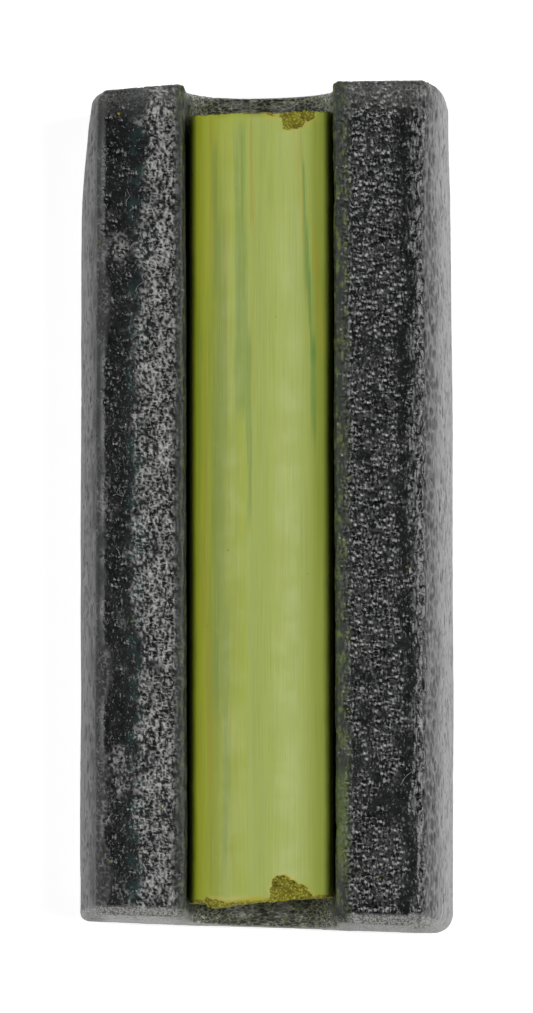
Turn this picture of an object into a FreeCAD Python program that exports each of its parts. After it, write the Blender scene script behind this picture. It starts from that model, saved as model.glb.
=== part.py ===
import FreeCAD, Part
import math
import os

# A block of black closed-cell foam holds a round stick of green honing compound in an
# open-ended U-groove along its top. Millimetres. Z is up, Y runs along the groove, and the
# origin is the centre of the block's underside.

# Foam block
block_length = 144.5
block_width = 65.0
block_height = 29.2
side_draft = 4.4
end_draft = 0.7
floor_thickness = 9.0
corner_radius = 2.6
shoulder_radius = 1.5
foot_radius = 0.8
lip_radius = 1.3

# Compound stick
stick_diameter = 25.0
grip_clearance = 0.3
near_setback = 3.4
far_setback = 5.1
near_end_slant = 1.4
far_end_slant = 0.8

# Corners broken off the stick's two ends. Each is a scoop of this radius, this far to the
# right of the stick's middle. It reaches this far in from the end, and chip_drop below the
# stick's surface.
near_chip_radius = 6.5
near_chip_offset = 4.5
near_chip_reach = 4.8
far_chip_radius = 7.0
far_chip_offset = 5.0
far_chip_reach = 4.3
chip_drop = 2.3

stick_radius = stick_diameter / 2
stick_length = block_length - near_setback - far_setback
groove_radius = stick_radius + grip_clearance
axis_height = floor_thickness + groove_radius
near_end = -block_length / 2 + near_setback
far_end = block_length / 2 - far_setback


def export(shape, node):
    shape.exportStep(f"parts/{node}.step")
    print(f"{node}: {len(shape.Solids)} solid, {shape.Volume / 1000:.1f} cm3, valid {shape.isValid()}")


def rectangle(half_x, half_y, z):
    corners = [(-half_x, -half_y), (half_x, -half_y), (half_x, half_y), (-half_x, half_y)]
    points = [FreeCAD.Vector(x, y, z) for x, y in corners]
    return Part.makePolygon(points + points[:1])


def drafted_block():
    """The cut block: sides that lean in, square ends, soft edges all round."""
    base = rectangle(block_width / 2, block_length / 2, 0)
    top = rectangle(block_width / 2 - side_draft, block_length / 2 - end_draft, block_height)
    block = Part.makeLoft([base, top], True, True)
    upright = [edge for edge in block.Edges if edge.BoundBox.ZLength > block_height / 2]
    block = block.makeFillet(corner_radius, upright)
    rim = [edge for edge in block.Edges if edge.BoundBox.ZMin > block_height - shoulder_radius / 2]
    block = block.makeFillet(shoulder_radius, rim)
    foot = [edge for edge in block.Edges if edge.BoundBox.ZMax < foot_radius / 2]
    return block.makeFillet(foot_radius, foot)


def groove_cutter():
    """A U that holds the stick, flared at its mouth to leave the rails' lips rounded."""
    def at(x, z):
        return FreeCAD.Vector(x, -block_length, z)

    lip_z = block_height - lip_radius
    clear_z = block_height + lip_radius
    mouth = groove_radius + lip_radius
    bend = lip_radius * (1 - math.sqrt(0.5))
    left_wall = at(-groove_radius, axis_height)
    right_wall = at(groove_radius, axis_height)
    outline = [
        Part.LineSegment(at(-mouth, clear_z), at(-mouth, block_height)),
        Part.Arc(
            at(-mouth, block_height),
            at(-groove_radius - bend, block_height - bend),
            at(-groove_radius, lip_z),
        ),
        Part.LineSegment(at(-groove_radius, lip_z), left_wall),
        Part.Arc(left_wall, at(0, floor_thickness), right_wall),
        Part.LineSegment(right_wall, at(groove_radius, lip_z)),
        Part.Arc(
            at(groove_radius, lip_z),
            at(groove_radius + bend, block_height - bend),
            at(mouth, block_height),
        ),
        Part.LineSegment(at(mouth, block_height), at(mouth, clear_z)),
        Part.LineSegment(at(mouth, clear_z), at(-mouth, clear_z)),
    ]
    wire = Part.Wire([curve.toShape() for curve in outline])
    return Part.Face(wire).extrude(FreeCAD.Vector(0, 2 * block_length, 0))


def end_trimmer(end_y, slant, direction):
    """A box past one end of the stick, turned a little so that the end is out of square."""
    size = 2 * stick_diameter
    box = Part.makeBox(size, size, size)
    reach = 0 if direction > 0 else -size
    box.translate(FreeCAD.Vector(-size / 2, reach, -size / 2))
    turn = math.degrees(math.atan2(slant, stick_diameter))
    box.rotate(FreeCAD.Vector(0, 0, 0), FreeCAD.Vector(0, 0, 1), turn)
    box.translate(FreeCAD.Vector(0, end_y - direction * slant / 2, axis_height))
    return box


def chip(end_y, direction, radius, offset, reach):
    """The ball that breaks a corner off the stick's top edge at one end."""
    surface_z = axis_height + math.sqrt(stick_radius ** 2 - offset ** 2)
    centre_y = end_y + direction * (radius - reach)
    return Part.makeSphere(radius, FreeCAD.Vector(offset, centre_y, surface_z + radius - chip_drop))


def compound_stick():
    start = FreeCAD.Vector(0, near_end, axis_height)
    stick = Part.makeCylinder(stick_radius, stick_length, start, FreeCAD.Vector(0, 1, 0))
    stick = stick.cut(end_trimmer(near_end, near_end_slant, -1))
    stick = stick.cut(end_trimmer(far_end, far_end_slant, 1))
    stick = stick.cut(chip(near_end, -1, near_chip_radius, near_chip_offset, near_chip_reach))
    return stick.cut(chip(far_end, 1, far_chip_radius, far_chip_offset, far_chip_reach))


os.makedirs("parts", exist_ok=True)
export(drafted_block().cut(groove_cutter()), "foam_block")
export(compound_stick(), "compound_stick")
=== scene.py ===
import bmesh
import bpy
import itertools
import math
import numpy as np
from mathutils import Euler, Matrix, Vector
from mathutils.geometry import delaunay_2d_cdt


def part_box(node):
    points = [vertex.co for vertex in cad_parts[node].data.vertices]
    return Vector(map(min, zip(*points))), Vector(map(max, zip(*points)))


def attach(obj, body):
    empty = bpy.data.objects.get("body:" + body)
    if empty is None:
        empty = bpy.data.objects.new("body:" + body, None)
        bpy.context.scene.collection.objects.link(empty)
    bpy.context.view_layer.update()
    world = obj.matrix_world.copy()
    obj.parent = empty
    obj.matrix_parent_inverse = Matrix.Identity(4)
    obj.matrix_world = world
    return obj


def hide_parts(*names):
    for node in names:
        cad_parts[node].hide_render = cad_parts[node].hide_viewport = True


# A round stick of green honing compound lies in an open-ended groove cut along a block of
# black closed-cell foam. Blender's unit is the metre. The mesh code works in millimetres.
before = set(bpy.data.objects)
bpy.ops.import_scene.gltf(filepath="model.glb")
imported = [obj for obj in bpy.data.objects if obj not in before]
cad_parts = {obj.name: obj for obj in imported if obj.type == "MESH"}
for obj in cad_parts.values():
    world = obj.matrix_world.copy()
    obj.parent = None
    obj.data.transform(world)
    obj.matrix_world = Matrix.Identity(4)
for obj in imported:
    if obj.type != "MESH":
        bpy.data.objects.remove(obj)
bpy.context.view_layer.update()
MM = 0.001


# ---------------------------------------------------------------- Camera
# It hangs about a metre over the bench with a long lens, a little to the right of the block
# and towards its near end, so that the right side shows and the left side mostly hides.
aim = Vector((0.1, 1.7, 0)) * MM
camera_place = Vector((37.7, -72, 1056)) * MM
visible_height = 178.3 * MM


def put_in_scene(name, data):
    """A new object in the scene that shows this data."""
    made = bpy.data.objects.new(name, data)
    bpy.context.scene.collection.objects.link(made)
    return made


forward = (aim - camera_place).normalized()
right = forward.cross(Vector((0, 1, 0))).normalized()
turn = Matrix((right, right.cross(forward), -forward)).transposed()
camera = put_in_scene("camera", bpy.data.cameras.new("camera"))
camera.matrix_world = Matrix.Translation(camera_place) @ turn.to_4x4()
camera.data.lens = camera.data.sensor_width * (aim - camera_place).length / visible_height
camera.data.clip_start = 0.05
camera.data.clip_end = 20
bpy.context.scene.camera = camera


# ---------------------------------------------------------------- Foam block
# The holder is sawn from one slab of black closed-cell polyethylene foam. The saw opens the
# bubbles, and a hot blade melts them here and there into a smooth dark skin. The groove is
# cut to fit the stick closely, and nothing else holds the stick.
block_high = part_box("foam_block")[1] / MM
stick_low, stick_high = (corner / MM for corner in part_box("compound_stick"))
block_height = block_high.z
half_length = block_high.y
side_bulge = 0.3
base_half_width = block_high.x + side_bulge
top_half_width = 26.4
shoulder_radius = 2.0
shoulder_turn = math.radians(65)
foot_radius = 0.9
low_lean = math.tan(math.radians(4.4))
lean_fade = 5.4
stick_radius = (stick_high.x - stick_low.x) / 2
axis_height = stick_high.z - stick_radius
groove_gap = 0.3
groove_radius = stick_radius + groove_gap
lip_radius = 0.9
near_round, far_round, end_inset = 1.7, 0.8, 0.8
top_step, side_step, groove_step, base_step = 0.18, 0.26, 0.42, 1.6
length_step = 0.2
end_point_step = 0.32
base_map_share = 0.2
bubble_width = 0.85
slit_width = 0.85
deepest_in_groove, proudest_in_groove = -0.4, 0.12
bump_depth = 0.06 * MM

shoulder_x = top_half_width + shoulder_radius * math.sin(shoulder_turn)
shoulder_z = block_height - shoulder_radius * (1 - math.cos(shoulder_turn))
upper_bulge = base_half_width - shoulder_x - low_lean * shoulder_z


def side_x(z):
    """How far out the side stands at a height: nearly upright low down, leaning in near the top."""
    drop = np.maximum(shoulder_z - z, 0)
    return shoulder_x + low_lean * drop + upper_bulge * (1 - np.exp(-drop / lean_fade))


def straight(start, end, step):
    """Points from start up to, but not at, end."""
    count = max(1, round(math.dist(start, end) / step))
    share = np.arange(count) / count
    return np.outer(1 - share, start) + np.outer(share, end)


def bend(centre, radius, start, end, step):
    """Points round an arc, from its start angle up to, but not at, its end angle."""
    count = max(3, round(abs(end - start) * radius / step))
    angle = start + (end - start) * np.arange(count) / count
    return np.column_stack([centre[0] + radius * np.cos(angle), centre[1] + radius * np.sin(angle)])


def half_section():
    """The right half of the block's section, from mid-base up and over to the groove's floor."""
    foot_x = side_x(foot_radius) - foot_radius
    side_z = np.arange(foot_radius, shoulder_z, side_step)
    lip_x = groove_radius + lip_radius
    lip_z = block_height - lip_radius
    crown_centre = (top_half_width, block_height - shoulder_radius)
    return np.concatenate([
        straight((0, 0), (foot_x, 0), base_step),
        bend((foot_x, foot_radius), foot_radius, -math.pi / 2, 0, side_step),
        np.column_stack([side_x(side_z), side_z]),
        bend(crown_centre, shoulder_radius, math.pi / 2 - shoulder_turn, math.pi / 2, top_step),
        straight((top_half_width, block_height), (lip_x, block_height), top_step),
        bend((lip_x, lip_z), lip_radius, math.pi / 2, math.pi, top_step),
        straight((groove_radius, lip_z), (groove_radius, axis_height), groove_step),
        bend((0, axis_height), groove_radius, 0, -math.pi / 2, groove_step),
    ])


def block_section():
    """The whole section, anticlockwise as seen looking along +Y, from mid-base."""
    right_half = half_section()
    left_half = right_half[1:][::-1] * (-1, 1)
    groove_floor = [[0, axis_height - groove_radius]]
    return np.concatenate([right_half, groove_floor, left_half])


def lattice_noise(points, size, seed):
    """Smooth noise from -1 to 1 at points in millimetres, with lumps of about this size."""
    table = np.random.default_rng(seed).uniform(-1, 1, (32, 32, 32))
    scaled = points / size + 500
    cell = np.floor(scaled).astype(int)
    part = scaled - cell
    part = part * part * (3 - 2 * part)
    total = 0
    for corner in itertools.product((0, 1), repeat=3):
        weight = np.prod(np.where(corner, part, 1 - part), axis=1)
        total += weight * table[tuple(((cell + corner) % 32).T)]
    return total


def bubbles(points, pitch, seed):
    """How deep each point lies in its bubble, from 0 on the wall between two bubbles to about
    1 in the middle, the bubble's own number from 0 to 1, and how far away its centre is."""
    rng = np.random.default_rng(seed)
    centres = rng.uniform(0, 1, (48, 48, 48, 3))
    numbers = rng.uniform(0, 1, (48, 48, 48))
    turned = points @ np.array(Euler((0.6, 0.9, 0.4)).to_matrix())
    scaled = turned / pitch + 500
    cell = np.floor(scaled).astype(int)
    nearest = np.full(len(points), 9.0)
    second = np.full(len(points), 9.0)
    number = np.zeros(len(points))
    for step in itertools.product((-1, 0, 1), repeat=3):
        near = cell + step
        index = tuple((near % 48).T)
        distance = np.linalg.norm(near + centres[index] - scaled, axis=1)
        closer = distance < nearest
        second = np.where(closer, nearest, np.minimum(second, distance))
        nearest = np.where(closer, distance, nearest)
        number = np.where(closer, numbers[index], number)
    return second - nearest, number, nearest


def ramp(value, low, high):
    """0 below low, 1 above high and smooth between them."""
    part = np.clip((value - low) / (high - low), 0, 1)
    return part * part * (3 - 2 * part)


def band(value, low, high, soft):
    """1 between low and high, with edges this soft."""
    return ramp(value, low - soft, low + soft) * ramp(-value, -high - soft, -high + soft)


def mesh_from(name, points, faces, uv, values):
    """A smooth mesh in metres from points in millimetres, with its map and its point values."""
    mesh = bpy.data.meshes.new(name)
    mesh.from_pydata(points * MM, [], faces)
    layer = mesh.uv_layers.new(name="OFBake")
    layer.uv.foreach_set("vector", np.asarray(uv, np.float32).ravel())
    for value_name, value in values.items():
        attribute = mesh.attributes.new(value_name, "FLOAT", "POINT")
        attribute.data.foreach_set("value", np.asarray(value, np.float32))
    mesh.shade_smooth()
    mesh.update()
    return mesh


def skin_normals(points, faces, uv):
    """Which way the skin faces at each point."""
    mesh = mesh_from("draft", points, faces, uv, {})
    normals = np.empty(len(points) * 3, np.float32)
    mesh.vertex_normals.foreach_get("vector", normals)
    bpy.data.meshes.remove(mesh)
    return normals.reshape(-1, 3).astype(float)


def ring_quads(count, rows):
    """Quads from each ring of points to the next, and the point and row that each starts at."""
    i, j = np.meshgrid(np.arange(count), np.arange(rows - 1))
    i, j = i.ravel(), j.ravel()
    onward = (i + 1) % count
    near, far = j * count, (j + 1) * count
    return np.column_stack([near + i, far + i, far + onward, near + onward]).tolist(), i, j


def in_section(x, z, margin):
    """True where a point of the section is this far inside the foam."""
    outside_groove = np.hypot(x, z - axis_height) > groove_radius + margin
    beside_groove = (np.abs(x) > groove_radius + margin) | (z < axis_height)
    within = (z > margin) & (z < block_height - margin) & (np.abs(x) < side_x(z) - margin)
    shoulder = np.abs(x) - top_half_width + z - block_height + shoulder_radius < shoulder_radius - margin
    lip = groove_radius + lip_radius - np.abs(x) + z - block_height < -margin
    return within & outside_groove & beside_groove & shoulder & (lip | (z < axis_height))


def end_face(loop, rng):
    """Triangles that fill an end's outline, and the points inside it that they use."""
    grid_x = np.arange(-base_half_width, base_half_width, end_point_step)
    grid_z = np.arange(0, block_height, end_point_step)
    inner = np.array(list(itertools.product(grid_x, grid_z)))
    inner += rng.uniform(-0.1, 0.1, inner.shape)
    inner = inner[in_section(inner[:, 0], inner[:, 1], end_inset + 0.25)]
    corners = [Vector(p) for p in np.concatenate([loop, inner])]
    outline = list(range(len(loop)))
    _, _, faces, origins, _, _ = delaunay_2d_cdt(corners, [], [outline], 1, 1e-6)
    return inner, [[origins[k][0] for k in face] for face in faces]


def block_mesh():
    """The block's points, faces and map, square and smooth, with rounded ends."""
    section = block_section()
    count = len(section)
    ahead = np.roll(section, -1, 0) - np.roll(section, 1, 0)
    outward = np.column_stack([ahead[:, 1], -ahead[:, 0]])
    outward /= np.linalg.norm(outward, axis=1)[:, None]
    outward[np.abs(section[:, 0]) > top_half_width - shoulder_radius, 0] = 0

    def rounded(reach):
        """How far each station of a rounded end stands from its start, and how far in."""
        turns = np.linspace(0, math.pi / 2, 2 + round(reach / 0.25))[1:]
        return [(reach * math.sin(a), end_inset * (1 - math.cos(a))) for a in turns]

    near_flat, far_flat = half_length - near_round, half_length - far_round
    rows = round((near_flat + far_flat) / length_step)
    stations = [(-near_flat - step, inset) for step, inset in reversed(rounded(near_round))]
    stations += [(y, 0) for y in np.linspace(-near_flat, far_flat, rows)]
    stations += [(far_flat + step, inset) for step, inset in rounded(far_round)]
    grid = np.empty((len(stations), count, 3))
    for row, (y, inset) in zip(grid, stations):
        row[:, [0, 2]] = section - outward * inset
        row[:, 1] = y
    points = [grid.reshape(-1, 3)]
    rows = len(stations)

    faces, i, j = ring_quads(count, rows)
    spans = np.linalg.norm(np.roll(section, -1, 0) - section, axis=1)
    spans[np.abs(section[:, 1]) < 1e-9] *= base_map_share
    across = np.concatenate([[0], np.cumsum(spans)])
    along = np.array([y for y, _ in stations]) + half_length
    map_size = max(across[-1], 2 * half_length + block_height + 2)
    corners = ((i, j), (i, j + 1), (i + 1, j + 1), (i + 1, j))
    uv = [np.stack([np.column_stack([across[a], along[b]]) for a, b in corners], axis=1).reshape(-1, 2)]

    rng = np.random.default_rng(4)
    start = rows * count
    for end, first in ((-1, 0), (1, (rows - 1) * count)):
        loop = grid[0 if end < 0 else -1][:, [0, 2]]
        inner, triangles = end_face(loop, rng)
        y = grid[0 if end < 0 else -1][0, 1]
        points.append(np.column_stack([inner[:, 0], np.full(len(inner), y), inner[:, 1]]))
        flat = np.concatenate([loop, inner])
        shift = np.array([base_half_width + (1 + end) * (base_half_width + 1), 2 * half_length + 1])
        for triangle in triangles:
            ordered = triangle if end < 0 else triangle[::-1]
            faces.append([first + k if k < count else start + k - count for k in ordered])
            uv.append(flat[ordered] + shift)
        start += len(inner)
    return np.concatenate(points), faces, np.concatenate(uv) / map_size


def round_corner(x, y, z, side, end, radius):
    """Draws one upright corner of the block in to a radius."""
    depth_x = radius - (side_x(z) - side * x)
    depth_y = radius - (half_length - end * y)
    inside = (depth_x > 0) & (depth_y > 0)
    reach = np.maximum(np.hypot(depth_x, depth_y), 1e-9)
    shrink = np.where(inside, np.maximum(depth_x, depth_y) / reach, 1)
    new_x = np.where(inside, side * (side_x(z) - radius + depth_x * shrink), x)
    new_y = np.where(inside, end * (half_length - radius + depth_y * shrink), y)
    return new_x, new_y


def out_of_square(points):
    """The hand-sawn outline: rounded corners, leaning ends and a far end that is drawn in."""
    x, y, z = points.T.copy()
    for side, end, radius in ((-1, -1, 1.6), (1, -1, 3.4), (-1, 1, 1.8), (1, 1, 1.8)):
        x, y = round_corner(x, y, z, side, end, radius)
    share = y / half_length
    height = z / block_height
    outer = ramp(np.abs(x), 13, 27)
    drawn_in = ramp(y, 52, half_length) * outer
    x = x + np.where(x < 0, 2.1 * (1 - height), 1.7 * height - 0.5) * drawn_in
    x = x + np.where(x > 0, 0.35, 0.0) * outer * (1 - ramp(np.abs(share + 0.15), 0.3, 1.1))
    x = x + np.where(x < 0, 0.65, 0.0) * ramp(y, 66, half_length) * (1 - 0.6 * height) * outer
    x = x - 0.22 * share * (1 - outer)
    near = np.clip(-share, 0, 1)
    far = np.clip(share, 0, 1)
    y = y - near * (0.033 * x - 1.25 * height ** 2)
    y = y + far ** 4 * (0.65 + 0.01 * x - ramp(-x, 13, 30))
    return np.column_stack([x, y, z])


def foam_relief(points, normals):
    """How far the cut foam's skin stands out from the plain shape, and what shows there."""
    x, y, z = points.T
    up = ramp(normals[:, 2], 0.3, 0.75)
    wobble = 0.9 * lattice_noise(points * (0, 1, 0), 9, 7) + 0.7 * lattice_noise(points, 3, 8)
    across = x + wobble
    waves = 0.12 * lattice_noise(points, 17, 1) + 0.08 * lattice_noise(points, 5, 2)
    patchy = 0.5 + 0.5 * lattice_noise(points * (1, 0.6, 1), 4.5, 3) + 0.25 * lattice_noise(points, 2.0, 4)

    left_edge = -20.8 + 2.2 * ramp(y, 30, 68)
    left_cut = band(across, left_edge, -13.1, 0.8) * (0.3 + 0.7 * ramp(patchy, 0.1, 0.35))
    left_cut = left_cut * (1 - 0.6 * ramp(x, -15.6, -14.0))
    left_clusters = 0.75 * band(across, -26.0, left_edge, 0.8) * ramp(patchy, 0.6, 0.85)
    left_clusters = left_clusters + 0.35 * band(across, -29.5, -26.4, 0.6) * ramp(patchy, 0.2, 0.6)
    right_cut = band(across, 13.8, 24.2, 1.0) * (0.15 + 0.85 * ramp(patchy, 0.1, 0.4))
    right_patches = 0.8 * band(across, 24.2, 27.4, 0.8) * ramp(patchy, 0.55, 0.85)
    cut = np.clip(up * (left_cut + left_clusters + right_cut + right_patches), 0, 1)
    depth, number, away = bubbles(points * (1, 0.85, 1), bubble_width, 5)
    bowl = ramp(depth, 0, 0.7)
    sunk = np.where(number < 0.6, -0.2 - 0.25 * number, 0.3 * number - 0.12)
    cells = cut * bowl * sunk

    edge = np.where(x > 0, band(across, 26.6, 31.0, 1.0) * ramp(z, 14, 25), 0)
    long_depth, long_number, _ = bubbles(points * (1.1, 0.36, 0.7), slit_width, 6)
    slit = ramp(long_depth, 0, 0.5)
    shallow = ramp(z, 2, 26)
    open_slit = long_number > 0.86 - 0.3 * shallow
    slits = slit * np.where(open_slit, -0.08 - 0.1 * shallow, 0.02)
    torn = edge * slit * np.where(long_number < 0.5, -0.3, 0.14)

    turned = 0.2 * lattice_noise(points * (1, 0.45, 1), 1.3, 23) - normals[:, 2] - 0.12 * (x < 0)
    side = (1 - cut) * ramp(turned, -0.75, -0.35)
    faint = (1 - cut) * (1 - side) * bowl * np.where(number > 0.88, -0.2, 0.05 * (number < 0.4))
    streaky = 0.11 * lattice_noise(points * (1, 0.4, 1), 0.6, 9)
    beside = band(np.abs(x), 10, 16.5, 1.0)
    relief = waves + cells + faint + side * slits * (1 - edge) + torn + streaky * beside

    in_groove = (np.abs(x) < groove_radius + 0.1) & (z < block_height - 0.5)
    relief = np.where(in_groove, np.clip(relief, deepest_in_groove, proudest_in_groove), relief)

    ragged = ramp(lattice_noise(points, 0.55, 21), -0.35, 0.3)
    thick = 0.7 + 0.3 * ramp(lattice_noise(points, 2.6, 22), -0.4, 0.4)
    wall = (1 - ramp(depth, 0.03, 0.28)) * ragged * thick
    painted_glint_dot = (1 - ramp(away, 0.12, 0.3)) * (number < 0.8)
    long_wall = (1 - ramp(long_depth, 0.03, 0.26)) * ragged
    # The pale mask is painted glints: pale spots in the bubbles and pale bubble walls stand in for the
    # soft boxes' glints in the glossy cells.
    pale = cut * np.where(x < 0, wall + 0.5 * painted_glint_dot, 1.5 * painted_glint_dot + 0.12 * wall)
    pale = pale + 0.3 * edge * long_wall
    lips = ramp(-np.abs(x), -15.0, -13.6) * ramp(z, 22, 26)
    matte = np.where(x < 0, 0.8 * ramp(-across, 25.6, 27.4), 0.25 * side)
    faces_end = ramp(np.abs(normals[:, 1]), 0.5, 0.9)
    shows = {
        "pale": np.clip(pale, 0, 1),
        # The hollow mask is painted shade: sunk bubbles and open slits are coloured darker.
        "hollow": np.clip(cut * bowl * (number < 0.6) + 0.6 * side * slit * open_slit, 0, 1),
        "cut": cut * (x < 0),
        "matte": np.maximum(matte, 0.35 * lips),
        # Painted reflection: the grey on the sides stands in for the white bench mirrored at a glancing
        # angle.
        "side_sheen": side * np.where(x > 0, 1 - 0.7 * edge, 0.8),
        "bed": in_groove * ramp(-z, 3 - axis_height, 6 - axis_height) * (1 - 0.75 * faces_end),
    }
    return relief * ramp(z, 0.2, 1.2), shows


plain_points, block_faces, block_uv = block_mesh()
from_near_end = half_length + plain_points[:, 1]
plain_points = out_of_square(plain_points)
block_normals = skin_normals(plain_points, block_faces, block_uv)
relief, foam_shows = foam_relief(plain_points, block_normals)
block_points = plain_points + block_normals * relief[:, None]
block_points[:, 2] = np.maximum(block_points[:, 2], 0)

x, y, z = plain_points.T
from_lip = np.abs(x) - groove_radius
right_lip = ramp(-from_lip, -3.4, -1.4)
left_lip = ramp(-from_lip, -2.2, -0.3) * 0.5 + ramp(-from_lip, -2.5, 0) * ramp(y, 56, 70)
residue = np.where(x > 0, right_lip, left_lip)
residue = np.where(np.abs(x) < groove_radius - 0.5, 0.7, residue) * ramp(z, 2, 8)
residue = residue * (1 - 0.8 * ramp(np.abs(block_normals[:, 1]), 0.5, 0.9))
foam_shows["residue"] = np.clip(residue, 0, 1)
foam_shows["rubbed"] = band(x, 12.9, 15.2, 0.4) * band(y, -63, -46, 2.0)
foam_shows["teal"] = band(x, -22.8, -19.4, 0.8) * ramp(z, 26, 28)
# Painted sheen: the light band along the near end's rounded top edge; the lighter haze on the far top is
# dust.
near_end_sheen = 1 - ramp(from_near_end, near_round - 0.5, near_round + 0.2)
foam_shows["dust_and_end_sheen"] = np.maximum(near_end_sheen, 0.28 * ramp(y, 66, half_length) * ramp(z, 20, 26))

foam_mesh = mesh_from("foam", block_points, block_faces, block_uv, foam_shows)
foam = put_in_scene("foam_holder", foam_mesh)


def new_group(name, inputs, outputs):
    """An empty shader group and its two ends. Its inputs are numbers with these values, or a
    vector where the value is None, and its outputs are numbers."""
    group = bpy.data.node_groups.new(name, "ShaderNodeTree")
    for socket, value in inputs.items():
        kind = "NodeSocketVector" if value is None else "NodeSocketFloat"
        made = group.interface.new_socket(socket, in_out="INPUT", socket_type=kind)
        if value is not None:
            made.default_value = value
    for socket in outputs:
        group.interface.new_socket(socket, in_out="OUTPUT", socket_type="NodeSocketFloat")
    return group, group.nodes.new("NodeGroupInput"), group.nodes.new("NodeGroupOutput")


def plug(tree, node, values):
    """Links what comes from other nodes to a node's inputs, and sets the plain values."""
    for socket, value in dict(values).items():
        if isinstance(value, bpy.types.NodeSocket):
            tree.links.new(value, node.inputs[socket])
        else:
            node.inputs[socket].default_value = value


def add(tree, kind, values=(), **settings):
    """A node of this kind with these settings, and these values or links on its inputs."""
    node = tree.nodes.new("ShaderNode" + kind)
    for name, setting in settings.items():
        setattr(node, name, setting)
    plug(tree, node, values)
    return node


def combine(tree, operation, *values):
    """These masks and numbers taken together in turn, as by ADD, MULTIPLY or MAXIMUM."""
    total = values[0]
    for value in values[1:]:
        total = add(tree, "Math", {0: total, 1: value}, operation=operation).outputs[0]
    return total


def product(tree, *values):
    return combine(tree, "MULTIPLY", *values)


def blend_colour(tree, share, first, second):
    """The first colour where the share is 0, the second where it is 1, and a mix between."""
    return add(tree, "Mix", {0: share, 6: first, 7: second}, data_type="RGBA").outputs[2]


def lay_over(tree, colour, layers):
    """A colour with each layer's tint laid over it, as far as the layer's mask says."""
    for mask, tint in layers:
        colour = blend_colour(tree, mask, colour, tint)
    return colour


def point_value(tree, name):
    """One of the values that the mesh code stored at each point."""
    return add(tree, "Attribute", attribute_name=name).outputs["Fac"]


def range_node(tree, value, low, high, to_low=0.0, to_high=1.0):
    """to_low where the value is low, to_high where it is high, and smooth between them."""
    sockets = {"Value": value, "From Min": low, "From Max": high, "To Min": to_low, "To Max": to_high}
    return add(tree, "MapRange", sockets, interpolation_type="SMOOTHSTEP").outputs[0]


def noise(tree, place, scale, detail, roughness=0.5):
    """Smooth noise at a place: a number first, then a colour."""
    values = {"Vector": place, "Scale": scale, "Detail": detail, "Roughness": roughness}
    return add(tree, "TexNoise", values).outputs


def make_patches_group():
    """Uneven patches in two sizes, for skin, dirt and colour that come and go."""
    inputs = {"Vector": None, "Size": 5.0, "Cover": 0.5, "Softness": 0.15}
    group, start, end = new_group("uneven patches", inputs, ["Mask"])
    scale = combine(group, "DIVIDE", 1.0, start.outputs["Size"])
    clouds = noise(group, start.outputs["Vector"], scale, 4.0, 0.6)[0]
    middle = range_node(group, start.outputs["Cover"], 0.0, 1.0, 0.75, 0.25)
    low = combine(group, "SUBTRACT", middle, start.outputs["Softness"])
    high = combine(group, "ADD", middle, start.outputs["Softness"])
    group.links.new(range_node(group, clouds, low, high), end.inputs["Mask"])
    return group


def make_grain_group():
    """Fine grains and pores, as a height for a bump and a mask of the hollows between, which the stick's
    breaks use for painted shade.
    """
    group, start, end = new_group("grain", {"Vector": None, "Size": 0.3}, ["Height", "Hollow"])
    scale = combine(group, "DIVIDE", 1.0, start.outputs["Size"])
    place = start.outputs["Vector"]
    cells = add(group, "TexVoronoi", {"Vector": place, "Scale": scale})
    finer = combine(group, "MULTIPLY", scale, 2.6)
    grit = noise(group, place, finer, 3.0)[0]
    domes = combine(group, "SUBTRACT", 1.0, cells.outputs["Distance"])
    height = combine(group, "ADD", domes, product(group, grit, 0.6))
    group.links.new(height, end.inputs["Height"])
    group.links.new(range_node(group, height, 0.75, 1.0, 1.0, 0.0), end.inputs["Hollow"])
    return group


def make_torn_walls_group():
    """Broken bits of the thin walls between bubbles, as a mask."""
    group, start, end = new_group("torn walls", {"Vector": None, "Size": 0.6, "Cover": 0.5}, ["Mask"])
    scale = combine(group, "DIVIDE", 1.0, start.outputs["Size"])
    straight_place = start.outputs["Vector"]
    bent = noise(group, straight_place, scale, 1.0)[1]
    shift = add(group, "VectorMath", {0: bent, "Scale": 0.5}, operation="SCALE").outputs[0]
    place = add(group, "VectorMath", {0: straight_place, 1: shift}, operation="ADD").outputs[0]
    cells = {"Vector": place, "Scale": scale}
    walls = add(group, "TexVoronoi", cells, feature="DISTANCE_TO_EDGE").outputs["Distance"]
    line = range_node(group, walls, 0.03, 0.16, 1.0, 0.0)
    finer = combine(group, "MULTIPLY", scale, 1.3)
    gaps = noise(group, straight_place, finer, 2.0)[0]
    middle = range_node(group, start.outputs["Cover"], 0.0, 1.0, 0.75, 0.25)
    high = combine(group, "ADD", middle, 0.12)
    kept = range_node(group, gaps, middle, high)
    group.links.new(product(group, line, kept), end.inputs["Mask"])
    return group


def make_specks_group():
    """Round specks scattered here and there, each of its own strength, as a mask."""
    inputs = {"Vector": None, "Spacing": 1.0, "Width": 0.2, "Share": 0.3}
    group, start, end = new_group("specks", inputs, ["Mask"])
    scale = combine(group, "DIVIDE", 1.0, start.outputs["Spacing"])
    cells = add(group, "TexVoronoi", {"Vector": start.outputs["Vector"], "Scale": scale})
    outer = combine(group, "DIVIDE", start.outputs["Width"], start.outputs["Spacing"])
    inner = combine(group, "MULTIPLY", outer, 0.5)
    spot = range_node(group, cells.outputs["Distance"], inner, outer, 1.0, 0.0)
    number = add(group, "SeparateColor", {"Color": cells.outputs["Color"]}).outputs[0]
    soft_share = combine(group, "MULTIPLY", start.outputs["Share"], 0.6)
    chosen = range_node(group, number, soft_share, start.outputs["Share"], 1.0, 0.0)
    group.links.new(product(group, spot, chosen), end.inputs["Mask"])
    return group


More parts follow.
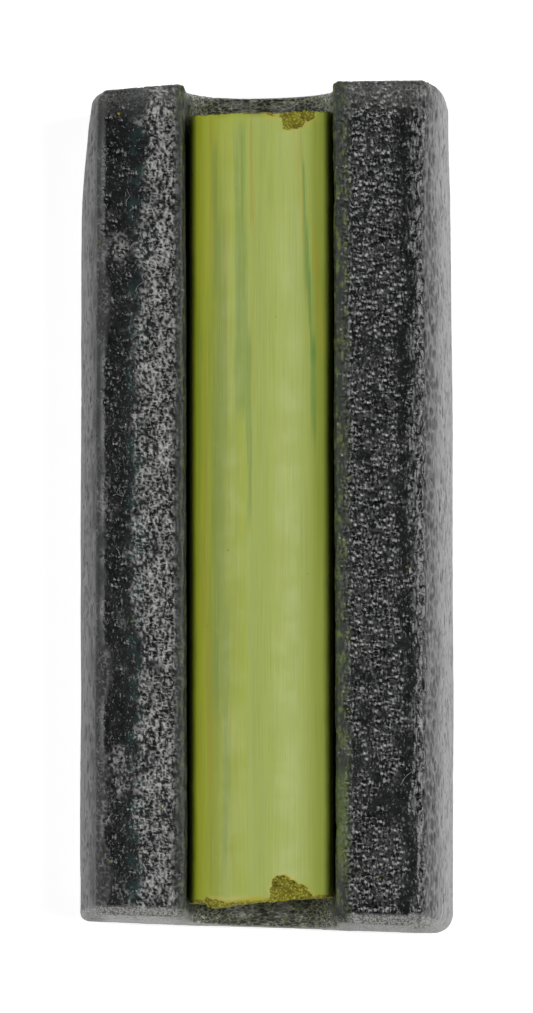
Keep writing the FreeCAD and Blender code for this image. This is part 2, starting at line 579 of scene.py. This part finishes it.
def new_material(name):
    """A material with one Principled shader, and its nodes."""
    material = bpy.data.materials.new(name)
    material.use_nodes = True
    tree = material.node_tree
    tree.nodes.clear()
    shader = tree.nodes.new("ShaderNodeBsdfPrincipled")
    output = tree.nodes.new("ShaderNodeOutputMaterial")
    tree.links.new(shader.outputs[0], output.inputs["Surface"])
    return material, tree, shader


def millimetres(tree, stretch=(1, 1, 1)):
    """The piece's own coordinates in millimetres, drawn out by a stretch along each axis."""
    place = add(tree, "TexCoord").outputs["Object"]
    scale = tuple(1 / MM / s for s in stretch)
    return add(tree, "Mapping", {"Vector": place, "Scale": scale}).outputs[0]


def use_group(tree, group, **values):
    """One placing of a shader group with its own values, and what it puts out."""
    return add(tree, "Group", values, node_tree=group).outputs


patches = make_patches_group()
grain = make_grain_group()
torn_walls = make_torn_walls_group()
specks = make_specks_group()


def patch(tree, size, cover, softness, stretch=(1, 1, 1)):
    """A mask of uneven patches about this size in millimetres, over about this share."""
    place = millimetres(tree, stretch)
    return use_group(tree, patches, Vector=place, Size=size, Cover=cover, Softness=softness)["Mask"]


def speck(tree, spacing, width, share, stretch=(1, 1, 1)):
    """A mask of specks this far apart and wide in millimetres, of which this share show."""
    place = millimetres(tree, stretch)
    return use_group(tree, specks, Vector=place, Spacing=spacing, Width=width, Share=share)["Mask"]


def torn_edges(tree, size, cover, stretch=(1, 1, 1)):
    """A mask of torn bubble walls, in bubbles of this size in millimetres."""
    place = millimetres(tree, stretch)
    return use_group(tree, torn_walls, Vector=place, Size=size, Cover=cover)["Mask"]


def foam_material():
    """Black skin, grey sides with a painted reflection, painted glints on the opened bubbles and torn
    walls, and green from the stick.
    """
    material, tree, shader = new_material("black foam")
    place = millimetres(tree)
    shown = {name: point_value(tree, name) for name in foam_shows}

    # Melted skin and opened bubbles
    black, dark = (0.0035, 0.004, 0.0045, 1), (0.009, 0.0095, 0.0098, 1)
    pit_shade = (0.002, 0.002, 0.002, 1)
    melted = patch(tree, 2.4, 0.45, 0.12)
    haze = product(tree, patch(tree, 2.6, 0.2, 0.1), 0.6)
    fibrous = patch(tree, 0.5, 0.6, 0.2, (1, 6, 2))
    # Painted reflection: the sides' grey stands in for the white bench mirrored at a glancing angle; its
    # streaks follow the saw's fibres.
    side_sheen_grey = blend_colour(tree, fibrous, (0.06, 0.06, 0.06, 1), (0.17, 0.17, 0.17, 1))
    pits = product(tree, speck(tree, 0.75, 0.4, 0.55, (1, 1.4, 2.4)), shown["side_sheen"])
    skin = blend_colour(tree, patch(tree, 9.0, 0.5, 0.2), black, dark)
    skin = lay_over(tree, skin, [
        (haze, (0.028, 0.029, 0.03, 1)),
        (shown["cut"], (0.012, 0.012, 0.012, 1)),
        (shown["side_sheen"], side_sheen_grey),
        # Painted shade: sunk bubbles, slits and the pits in the sides are coloured darker than the skin.
        (shown["hollow"], pit_shade),
        (product(tree, pits, 0.9), pit_shade),
        (product(tree, shown["teal"], melted, 0.8), (0.022, 0.045, 0.04, 1)),
    ])

    # Painted glints as whitish flecks in the opened bubbles and on torn bubble walls, fine specks of dust,
    # and painted sheen on the near end's rounded edge with dust on the far top
    fine = noise(tree, place, 3.2, 2.0)[0]
    painted_glint_flecks = product(tree, shown["pale"], range_node(tree, fine, 0.3, 0.6, 0.35, 1.0))
    # Painted glints on the torn bubble walls, strongest where the bubbles are cut open.
    glint_curls = torn_edges(tree, 0.62, 0.42, (1, 1.4, 1))
    glint_share = combine(tree, "ADD", shown["cut"], product(tree, shown["matte"], 0.35), 0.2)
    # Painted sheen along the near end's rounded edge, and dust on the far top.
    powdery = product(tree, shown["dust_and_end_sheen"], range_node(tree, fine, 0.4, 0.6, 0.25, 1.0))
    opened = lay_over(tree, skin, [
        (painted_glint_flecks, (0.5, 0.5, 0.49, 1)),
        (product(tree, glint_curls, glint_share, 0.32), (0.36, 0.36, 0.35, 1)),
        (product(tree, speck(tree, 1.1, 0.15, 0.35), 0.5), (0.42, 0.42, 0.41, 1)),
        (powdery, (0.36, 0.36, 0.34, 1)),
    ])

    # Green rubbed off the stick, and painted glints on the groove's floor
    # Painted glints: whitish streaks on the groove's floor stand in for glints of the soft boxes.
    bed_glint_walls = product(tree, torn_edges(tree, 0.6, 0.72, (2.6, 0.9, 1.3)), 0.7)
    bed_painted_glints = combine(tree, "MAXIMUM", speck(tree, 0.9, 0.36, 0.6, (2.4, 0.8, 1.2)), bed_glint_walls)
    rubbed_on = product(tree, shown["rubbed"], 0.75)
    moss = combine(tree, "MAXIMUM", patch(tree, 0.7, 0.42, 0.08, (1, 2.8, 1)), rubbed_on)
    green = blend_colour(tree, moss, (0.010, 0.018, 0.010, 1), (0.09, 0.125, 0.02, 1))
    stained = lay_over(tree, opened, [
        (product(tree, shown["bed"], 0.7), (0.024, 0.024, 0.012, 1)),
        (product(tree, bed_painted_glints, shown["bed"]), (0.8, 0.8, 0.64, 1)),
        (product(tree, shown["residue"], patch(tree, 0.9, 0.62, 0.16)), green),
    ])

    rough = range_node(tree, melted, 0.0, 1.0, 0.26, 0.2)
    for name, more in (("residue", 0.15), ("matte", 0.5), ("pale", 0.15), ("dust_and_end_sheen", 0.3)):
        rough = combine(tree, "ADD", rough, product(tree, shown[name], more))

    wrinkles = use_group(tree, grain, Vector=place, Size=0.45)["Height"]
    height = combine(tree, "ADD", wrinkles, product(tree, glint_curls, 1.2), product(tree, pits, -4.0))
    bump = add(tree, "Bump", {"Height": height, "Strength": 0.4, "Distance": bump_depth})
    plug(tree, shader, {
        "Base Color": stained, "Roughness": rough, "IOR": 1.52, "Normal": bump.outputs[0],
    })
    return material


foam.data.materials.append(foam_material())
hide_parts("foam_block")
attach(foam, "holder")


# ---------------------------------------------------------------- Compound stick
# A round bar cast from chromium oxide powder and wax. The mould leaves it smooth, with long
# streaks where the pigment settled. It was snapped to length, so both ends are crumbly.
near_y, far_y = stick_low.y, stick_high.y


def stick_mesh():
    """The stick's points, faces and map, straight and smooth, with flat ends."""
    around = 216
    angles = np.arange(around) * 2 * math.pi / around
    near_rows = np.arange(0, 8, 0.2)
    middle_rows = np.linspace(8, far_y - near_y - 8, 280)
    far_rows = far_y - near_y - near_rows[::-1]
    along = np.concatenate([near_rows, middle_rows[1:-1], far_rows]) + near_y
    rings = np.linspace(1, 0, 36)[1:-1]
    rows = len(along)

    def circles(radii, places):
        """Points round the stick's axis, a circle for each radius and place along it."""
        made = np.empty((len(radii), around, 3))
        made[:, :, 0] = radii[:, None] * np.cos(angles)
        made[:, :, 1] = places[:, None]
        made[:, :, 2] = axis_height + radii[:, None] * np.sin(angles)
        return made.reshape(-1, 3)

    side = circles(np.full(rows, stick_radius), along)
    caps = [circles(stick_radius * rings, np.full(len(rings), y)) for y in (near_y, far_y)]
    centres = np.array([[0, near_y, axis_height], [0, far_y, axis_height]])
    points = np.concatenate([side, *caps, centres])

    faces, i, j = ring_quads(around, rows)
    length = far_y - near_y
    size = length + 2 * stick_radius + 4
    girth = 2 * math.pi * stick_radius * 1.6

    def on_side(i, j):
        return np.column_stack([i / around * girth, along[j] - near_y])

    corners = (on_side(i, j), on_side(i, j + 1), on_side(i + 1, j + 1), on_side(i + 1, j))
    uv = [np.stack(corners, axis=1).reshape(-1, 2)]
    ring_start = rows * around
    for end in (0, 1):
        rim = 0 if end == 0 else (rows - 1) * around
        first = ring_start + end * len(rings) * around
        centre = ring_start + 2 * len(rings) * around + end
        shift = np.array([stick_radius + 1 + end * (2 * stick_radius + 2), length + stick_radius + 2])
        starts = [rim] + [first + k * around for k in range(len(rings))]
        for outer, inner in zip(starts, starts[1:]):
            for k in range(around):
                n = (k + 1) % around
                quad = [outer + k, outer + n, inner + n, inner + k]
                faces.append(quad if end == 0 else quad[::-1])
        last = starts[-1]
        for k in range(around):
            triangle = [last + k, last + (k + 1) % around, centre]
            faces.append(triangle if end == 0 else triangle[::-1])
        cap_faces = faces[-(len(rings) * around + around):]
        flat = points[:, [0, 2]] - (0, axis_height)
        uv.append(np.concatenate([flat[f] + shift for f in cap_faces]))
    return points, faces, np.concatenate(uv) / size


def scoop(points, x, y, radius, depth, seed):
    """Breaks a shallow, ragged hollow out of the stick's upper face, and says where the break
    is and where its powder lies around it."""
    surface = axis_height + math.sqrt(stick_radius ** 2 - x ** 2)
    centre = np.array([x, y, surface + radius - depth])
    away = points - centre
    distance = np.maximum(np.linalg.norm(away, axis=1), 1e-9)
    ragged = 0.55 * lattice_noise(points * (1, 1, 0), 1.6, seed)
    ragged = ragged + 0.35 * lattice_noise(points, 0.6, seed + 1)
    edge = radius + ragged * depth
    inside = distance < edge
    moved = np.where(inside[:, None], centre + away / distance[:, None] * edge[:, None], points)
    return moved, ramp(edge + 0.12 - distance, 0, 0.14), ramp(edge + 0.9 - distance, 0, 0.9)


def crumbled_stick(points):
    """The cast bar's slight unevenness, its slanted broken ends and their chips."""
    x, y, z = points.T
    reach = np.hypot(x, z - axis_height)
    end_face = reach < stick_radius * 0.98
    drawn = points * (1, 0.04, 1)
    swell = 0.05 * lattice_noise(drawn, 4.5, 11) + 0.02 * lattice_noise(drawn, 1.1, 12)
    swell += 0.03 * lattice_noise(points, 9, 13) - 0.02

    from_near, from_far = y - near_y, far_y - y
    bitten = lattice_noise(points * (1, 0, 1), 1.7, 14) + 0.4 * lattice_noise(points, 0.7, 15)
    nibble = ramp(bitten, -0.1, 1.0)
    near_edge = np.exp(-(from_near / 0.5) ** 2)
    far_edge = np.exp(-(from_far / 0.35) ** 2)
    worn = (0.12 + 0.5 * nibble) * near_edge + (0.06 + 0.3 * nibble) * far_edge
    scale = np.where(end_face, 1 - 0.015 * (near_edge + far_edge), 1 + (swell - worn) / stick_radius)
    x = x * scale
    z = axis_height + (z - axis_height) * scale

    outward = x / stick_radius
    below_top = 1 - np.clip((z - axis_height) / stick_radius, 0, 1)
    ridge = ramp(x, -9.4, -8.6) * ramp(-x, -1.0, 9.0)
    near_slant = 1.05 + 0.65 * outward + 0.3 * below_top - 0.75 * ridge
    far_slant = -0.25 + 0.45 * outward + 1.2 * below_top
    across_only = points * (1, 0, 1)
    lumps = 0.28 * lattice_noise(across_only, 3.4, 16) + 0.2 * lattice_noise(across_only, 1.2, 17)
    y = y + (near_slant + lumps) * np.clip(1 - from_near / 12, 0, 1)
    y = y + (far_slant + 0.7 * lumps) * np.clip(1 - from_far / 12, 0, 1)
    moved = np.column_stack([x, y, z])

    near_lip, far_lip = near_y + 1.15, far_y - 0.25
    hollows = [
        (6.6, near_lip, 5.6, 1.2), (4.0, near_lip - 0.5, 3.0, 0.65), (8.6, near_lip - 0.3, 2.4, 0.6),
        (-9.3, near_lip - 0.6, 1.4, 0.3), (7.4, far_lip + 0.4, 4.4, 0.85), (5.2, far_lip + 0.6, 2.2, 0.45),
        (9.2, far_lip + 0.5, 1.8, 0.35), (2.4, far_lip + 0.7, 3.0, 0.22), (0.9, far_lip + 0.5, 2.0, 0.12),
    ]
    chipped = np.zeros(len(points))
    chalky = np.zeros(len(points))
    for seed, (place, along, radius, depth) in enumerate(hollows):
        moved, here, beside = scoop(moved, place, along, radius, depth, 30 + 2 * seed)
        chipped = np.maximum(chipped, here)
        chalky = np.maximum(chalky, beside)
    middle = ramp(x, -10, -8.5) * ramp(-x, -2, 1)
    rim = 0.35 + (0.3 + 1.0 * middle) * ramp(lattice_noise(across_only, 2.2, 18), -0.7, 0.6)
    near_band = 1 - ramp(from_near, rim, rim + 0.3)
    far_band = 1 - ramp(from_far, 0.02, 0.2)
    powdery = 1 - ramp(from_near, rim, rim + 0.5 + 1.3 * middle)
    broken = np.clip(chipped + 0.55 * near_band + far_band + end_face, 0, 1)
    return moved, broken, np.clip(chalky + powdery + broken, 0, 1)


stick_points, stick_faces, stick_uv = stick_mesh()
stick_points, broken, chalky = crumbled_stick(stick_points)
stick_normals = skin_normals(stick_points, stick_faces, stick_uv)
crumble = ramp(bubbles(stick_points, 0.7, 19)[0], 0.1, 0.7)
crumble_depth = 0.3 * crumble + 0.12 * lattice_noise(stick_points, 0.9, 20)
stick_points -= stick_normals * (broken * crumble_depth)[:, None]
# The hollow mask, where the break is sunk, carries painted shade in the break's pits.
stick_shows = {"broken": broken, "hollow": broken * crumble, "chalky": chalky}
stick_skin = mesh_from("stick", stick_points, stick_faces, stick_uv, stick_shows)
stick = put_in_scene("honing_compound_stick", stick_skin)


streak_inputs = ("Middle", "Lean", "Half Width", "Near End", "Far End", "Fade", "Strength")


def make_streak_group():
    """One streak of pigment drawn along the stick: where it lies, how wide and how long."""
    inputs = dict.fromkeys(("Across", "Along", *streak_inputs), 0.0)
    group, start, end = new_group("pigment streak", inputs, ["Mask"])
    given = start.outputs
    drift = product(group, given["Along"], given["Lean"])
    offset = combine(group, "SUBTRACT", given["Across"], combine(group, "ADD", given["Middle"], drift))
    away = add(group, "Math", {0: offset}, operation="ABSOLUTE").outputs[0]
    share = combine(group, "DIVIDE", away, given["Half Width"])
    width = range_node(group, share, 0.6, 1.2, 1.0, 0.0)
    near_low = combine(group, "SUBTRACT", given["Near End"], given["Fade"])
    far_high = combine(group, "ADD", given["Far End"], given["Fade"])
    begun = range_node(group, given["Along"], near_low, given["Near End"])
    ended = range_node(group, given["Along"], given["Far End"], far_high, 1.0, 0.0)
    length = product(group, begun, ended)
    group.links.new(product(group, width, length, given["Strength"]), end.inputs["Mask"])
    return group


pigment_streak = make_streak_group()
pale = (0.368, 0.442, 0.074, 1)
spring = (0.366, 0.425, 0.016, 1)
lime = (0.470, 0.520, 0.048, 1)
milky = (0.375, 0.450, 0.115, 1)
olive = (0.255, 0.310, 0.024, 1)
blue_green = (0.205, 0.300, 0.042, 1)
leaf_green = (0.150, 0.290, 0.045, 1)
ochre = (0.400, 0.355, 0.030, 1)

# Colour, middle, lean, half width, near end, far end, fade and strength, in millimetres
streaks = [
    (milky, -0.3, 0.0, 2.0, -60, 80, 20, 0.75),
    (lime, -9.5, 0.0, 1.0, -76, 80, 6, 0.6),
    (olive, -6.2, 0.0, 3.2, -80, 22, 16, 0.45),
    (olive, -6.8, 0.0, 1.3, -34, 52, 12, 0.5),
    (olive, -12.0, 0.0, 0.9, -80, 80, 5, 0.5),
    (olive, 10.9, -0.01, 1.5, 0, 66, 20, 0.5),
    (blue_green, -6.9, 0.012, 1.1, -30, 44, 9, 0.6),
    (blue_green, -7.6, 0.0, 0.35, 38, 60, 4, 0.7),
    (blue_green, -5.3, 0.008, 0.6, -58, -22, 9, 0.65),
    (blue_green, -2.7, -0.012, 1.15, 18, 62, 6, 0.85),
    (blue_green, -1.6, 0.0, 0.55, 0, 26, 6, 0.8),
    (blue_green, -3.2, 0.0, 0.2, 26, 44, 5, 0.8),
    (leaf_green, -10.4, 0.0, 0.4, -8, 30, 9, 0.35),
    (pale, -4.5, 0.0, 0.45, 0, 46, 9, 0.6),
    (ochre, -8.1, 0.0, 0.3, 44, 64, 5, 0.8),
    (ochre, -5.6, 0.0, 0.25, 22, 46, 8, 0.6),
    (ochre, -9.4, 0.0, 0.45, -16, 22, 9, 0.6),
    (ochre, -8.6, 0.0, 0.6, -46, -26, 6, 0.65),
    (ochre, -1.15, 0.0, 0.4, 50, 64, 5, 0.9),
    (ochre, -0.75, 0.0, 0.22, 22, 50, 8, 0.45),
    (leaf_green, 10.45, -0.052, 0.38, 26, 57, 3, 0.95),
    (leaf_green, 9.1, 0.0, 0.55, 14, 26, 5, 0.75),
    (ochre, 12.2, -0.06, 0.25, 28, 46, 4, 0.8),
    (leaf_green, 11.7, 0.0, 0.4, 4, 24, 6, 0.65),
    (olive, 9.6, -0.04, 0.3, 36, 62, 6, 0.5),
    (ochre, 10.2, -0.06, 0.5, 46, 62, 6, 0.4),
]


def compound_colour(tree, place):
    """The cast surface: pigment streaks drawn along the stick, faint threads and soft clouds."""
    axes = add(tree, "SeparateXYZ", {"Vector": place})
    across, along = axes.outputs["X"], axes.outputs["Y"]
    waver = noise(tree, millimetres(tree, (1.2, 26, 1.2)), 0.8, 5.0, 0.65)[0]
    shifted = combine(tree, "ADD", across, range_node(tree, waver, 0.25, 0.75, -0.4, 0.4))
    threads = noise(tree, millimetres(tree, (1, 60, 1)), 2.6, 5.0, 0.7)[0]
    cloud = product(tree, patch(tree, 6.0, 0.42, 0.25, (1, 2.2, 1)), 0.12)
    cast = blend_colour(tree, cloud, pale, (0.30, 0.34, 0.05, 1))
    colour = blend_colour(tree, range_node(tree, shifted, -5.5, 0.5, 1.0, 0.0), cast, spring)
    faded = range_node(tree, threads, 0.3, 0.7, 0.55, 1.15)
    for tint, *numbers in streaks:
        values = dict(zip(streak_inputs, numbers), Across=shifted, Along=along)
        streak = use_group(tree, pigment_streak, **values)["Mask"]
        colour = blend_colour(tree, product(tree, streak, faded), colour, tint)
    hairs = noise(tree, millimetres(tree, (1, 90, 1)), 5.5, 3.0, 0.7)[0]
    return lay_over(tree, colour, [
        (range_node(tree, threads, 0.52, 0.75, 0.0, 0.3), (0.27, 0.33, 0.05, 1)),
        (range_node(tree, hairs, 0.52, 0.68, 0.0, 0.45), (0.25, 0.32, 0.045, 1)),
        (range_node(tree, hairs, 0.34, 0.46, 0.35, 0.0), (0.47, 0.53, 0.10, 1)),
    ])


def compound_material():
    """The cast surface, yellow powder by the breaks, and rough mustard where it broke."""
    material, tree, shader = new_material("green honing compound")
    place = millimetres(tree)
    cast = compound_colour(tree, place)
    broken_here, hollow, chalky_here = (point_value(tree, name) for name in stick_shows)
    crumbs = use_group(tree, grain, Vector=place, Size=0.4)
    scattered = product(tree, patch(tree, 0.8, 0.6, 0.2), 0.5)
    edge = range_node(tree, combine(tree, "ADD", broken_here, scattered), 0.5, 0.95)
    cloudy = product(tree, patch(tree, 2.2, 0.5, 0.3), 0.8)
    powder = range_node(tree, combine(tree, "ADD", chalky_here, cloudy), 0.55, 1.3, 0.0, 0.9)

    tinge = patch(tree, 1.4, 0.5, 0.2)
    yellow = blend_colour(tree, tinge, (0.46, 0.42, 0.035, 1), (0.38, 0.40, 0.045, 1))
    # Painted shade: the hollows between the grains of a break are coloured darker, and its pits nearly
    # black.
    mustard = blend_colour(tree, crumbs["Hollow"], yellow, (0.20, 0.18, 0.008, 1))
    shaded_pits = product(tree, speck(tree, 0.8, 0.4, 0.55), hollow)
    gaps = combine(tree, "MAXIMUM", product(tree, hollow, 0.55), shaded_pits)
    mustard = blend_colour(tree, gaps, mustard, (0.045, 0.038, 0.002, 1))
    colour = lay_over(tree, cast, [
        (product(tree, speck(tree, 6.0, 0.24, 0.7), 0.7), (0.09, 0.11, 0.03, 1)),
        (powder, (0.45, 0.42, 0.055, 1)),
        (edge, mustard),
    ])

    waxy = range_node(tree, patch(tree, 5.0, 0.5, 0.2), 0.0, 1.0, 0.42, 0.52)
    rough = combine(tree, "MAXIMUM", waxy, product(tree, edge, 0.9))

    brushed = noise(tree, millimetres(tree, (1, 30, 1)), 3.0, 4.0)[0]
    broken_height = product(tree, crumbs["Height"], edge, 3.0)
    height = combine(tree, "ADD", product(tree, brushed, 0.5), broken_height)
    bump = add(tree, "Bump", {"Height": height, "Strength": 0.5, "Distance": bump_depth})
    plug(tree, shader, {
        "Base Color": colour, "Roughness": rough, "IOR": 1.5, "Normal": bump.outputs[0],
    })
    return material


stick.data.materials.append(compound_material())
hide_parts("compound_stick")
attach(stick, "stick")


# ---------------------------------------------------------------- Crumbs
# Bits that broke off the stick and dropped on the holder, where the open bubbles keep them.
# They are the stick's own wax and pigment. Each is a rough lump a fraction of a millimetre wide.
scrap_map_width = 200

# Where each lies, and how wide it is, in millimetres
crumbs_lie = [
    (-24.3, 67.5, 0.55), (-28.0, 45.2, 0.4), (-15.9, 63.3, 0.4), (25.0, -10.8, 0.4), (14.6, 58.0, 0.45),
    (-14.9, 66.8, 0.55), (14.4, -60.0, 0.5), (15.0, -35.0, 0.4), (-22.0, -20.0, 0.35), (17.4, 30.0, 0.35),
    (-17.0, -52.0, 0.4), (20.5, -64.0, 0.35), (-19.0, 12.0, 0.3), (22.8, 49.0, 0.3), (-25.5, -61.0, 0.35),
]


def foam_top_at(x, y):
    """The height of the foam's skin at a place on its top."""
    away = np.hypot(block_points[:, 0] - x, block_points[:, 1] - y)
    return block_points[away < 0.35, 2].max()


def lump(middle, width, seed):
    """The points and faces of one rough lump."""
    ball = bmesh.new()
    bmesh.ops.create_icosphere(ball, subdivisions=3, radius=width / 2)
    points = np.array([vert.co for vert in ball.verts])
    faces = [[vert.index for vert in face.verts] for face in ball.faces]
    ball.free()
    points *= (1 + 0.35 * lattice_noise(points + seed, width * 0.45, 40 + seed))[:, None]
    squashed = points * (1, 0.8, 0.7)
    turned = squashed @ np.array(Euler((0.3 * seed, 0.5 * seed, 1.1 * seed)).to_matrix())
    return turned + middle, faces


def gather(scraps):
    """The points, faces and map of many scraps in one mesh. The map looks straight down."""
    counts = [len(scrap_points) for scrap_points, _ in scraps]
    starts = np.cumsum([0] + counts).tolist()
    points = np.concatenate([scrap_points for scrap_points, _ in scraps])
    faces = []
    for start, (_, scrap_faces) in zip(starts, scraps):
        faces += [[start + k for k in face] for face in scrap_faces]
    return points, faces, [points[k, :2] / scrap_map_width + 0.5 for face in faces for k in face]


lumps = [
    lump((x, y, foam_top_at(x, y) + 0.3 * width), width, seed)
    for seed, (x, y, width) in enumerate(crumbs_lie)
]
crumb_points, crumb_faces, crumb_uv = gather(lumps)
shown_everywhere = np.ones(len(crumb_points))
# The crumbs' hollow mask is painted shade in their pits.
crumb_hollows = ramp(lattice_noise(crumb_points, 0.12, 60), 0, 0.5)
crumb_mesh = mesh_from("crumbs", crumb_points, crumb_faces, crumb_uv, {
    "broken": shown_everywhere, "chalky": shown_everywhere, "hollow": crumb_hollows,
})
crumbs = put_in_scene("compound_crumbs", crumb_mesh)
crumbs.data.materials.append(stick.data.materials[0])
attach(crumbs, "holder")


# ---------------------------------------------------------------- Foam shavings
# Hair-thin curls of foam that the saw tore loose and left clinging to the tops of both rails.
# Each is a tapering thread, stuck down at one end and arching a little off the surface.
thread_radius = 0.07

# Where each starts, its heading in degrees, its length and its sway, in millimetres
threads_lie = [
    (-21.4, 36.7, 60, 3.4, 0.5), (-18.8, 26.4, 35, 2.8, 0.7), (-24.6, -7.4, -55, 2.2, 0.3),
    (-25.2, 1.6, 10, 2.6, 0.6), (-23.0, 51.5, 80, 3.0, 0.4), (-22.4, 44.0, 50, 4.0, 0.8),
    (-20.6, -30.0, 100, 2.4, 0.5), (24.0, -48.0, 55, 5.5, 0.5), (21.8, 6.0, 75, 2.4, 0.4),
    (23.4, -24.0, 120, 2.8, 0.6),
]


def curl(x, y, heading, length, sway):
    """The points and faces of one curled thread."""
    share = np.linspace(0, 1, 28)
    forward = np.array([math.cos(math.radians(heading)), math.sin(math.radians(heading)), 0])
    sideways = np.array([-forward[1], forward[0], 0])
    swing = sway * np.sin(share * 2.6 * math.pi) * share
    path = np.array([x, y, 0]) + np.outer(share * length, forward) + np.outer(swing, sideways)
    ground = np.array([foam_top_at(px, py) for px, py in path[:, :2]])
    ground = np.convolve(np.pad(ground, 3, mode="edge"), np.ones(7) / 7, mode="valid")
    path[:, 2] = ground + 0.06 + 0.25 * np.sin(share * math.pi) ** 2
    ahead = np.gradient(path, axis=0)
    ahead /= np.linalg.norm(ahead, axis=1)[:, None]
    across = np.cross(ahead, (0, 0, 1))
    across /= np.linalg.norm(across, axis=1)[:, None]
    upward = np.cross(across, ahead)
    radius = thread_radius * (1 - 0.6 * share)
    sides = 6
    angles = np.arange(sides) * 2 * math.pi / sides
    lines = [path + radius[:, None] * (math.cos(a) * across + math.sin(a) * upward) for a in angles]
    points = np.stack(lines, axis=1).reshape(-1, 3)
    faces = [[first, *rest[::-1]] for first, *rest in ring_quads(sides, len(share))[0]]
    faces.append(list(range(sides))[::-1])
    faces.append([(len(share) - 1) * sides + n for n in range(sides)])
    return points, faces


thread_points, thread_faces, thread_uv = gather([curl(*place) for place in threads_lie])
thread_mesh = mesh_from("shavings", thread_points, thread_faces, thread_uv, {
    "pale": np.full(len(thread_points), 0.5), "matte": np.ones(len(thread_points)),
})
shavings = put_in_scene("foam_shavings", thread_mesh)
shavings.data.materials.append(foam.data.materials[0])
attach(shavings, "holder")


# ---------------------------------------------------------------- Floor and lights
# A white bench top, lit faintly from within, under two long soft boxes, one on each side,
# with dim air above. The foam mirrors the dark overhead, so its skin stays black, and its
# bubbles glint with the boxes, along with glints painted into the foam's colour.
bench_half = 4.0
bench_glow = 0.58
bench_corners = [
    (-bench_half, -bench_half, 0), (bench_half, -bench_half, 0),
    (bench_half, bench_half, 0), (-bench_half, bench_half, 0),
]
bench_mesh = bpy.data.meshes.new("bench_top")
bench_mesh.from_pydata(bench_corners, [], [(0, 1, 2, 3)])
floor = put_in_scene("bench_top", bench_mesh)
bench, _, bench_shader = new_material("white bench")
bench_shader.inputs["Base Color"].default_value = (0.9, 0.9, 0.9, 1)
bench_shader.inputs["Emission Color"].default_value = (1, 1, 1, 1)
bench_shader.inputs["Emission Strength"].default_value = bench_glow
bench_shader.inputs["Roughness"].default_value = 0.8
floor.data.materials.append(bench)

soft_box_size = (0.4, 1.1)
soft_box_out, soft_box_up = 0.8, 0.85


def soft_box(name, x, power):
    """A long soft box at one side of the bench, aimed at its middle."""
    light = bpy.data.lights.new(name, "AREA")
    light.shape = "RECTANGLE"
    light.size, light.size_y = soft_box_size
    light.energy = power
    lamp = put_in_scene(name, light)
    lamp.location = (x, 0.0, soft_box_up)
    lamp.rotation_euler = (-lamp.location).to_track_quat("-Z", "Y").to_euler()


soft_box("left_soft_box", -soft_box_out, 8.0)
soft_box("right_soft_box", soft_box_out, 9.5)
world = bpy.data.worlds.new("air")
world.use_nodes = True
sky = world.node_tree
upward = add(sky, "SeparateXYZ", {"Vector": add(sky, "TexCoord").outputs["Generated"]}).outputs["Z"]
glow = range_node(sky, upward, 0.25, 0.85, 0.75, 0.05)
sky.links.new(glow, sky.nodes["Background"].inputs["Strength"])
bpy.context.scene.world = world
bpy.context.scene.view_settings.view_transform = "Standard"
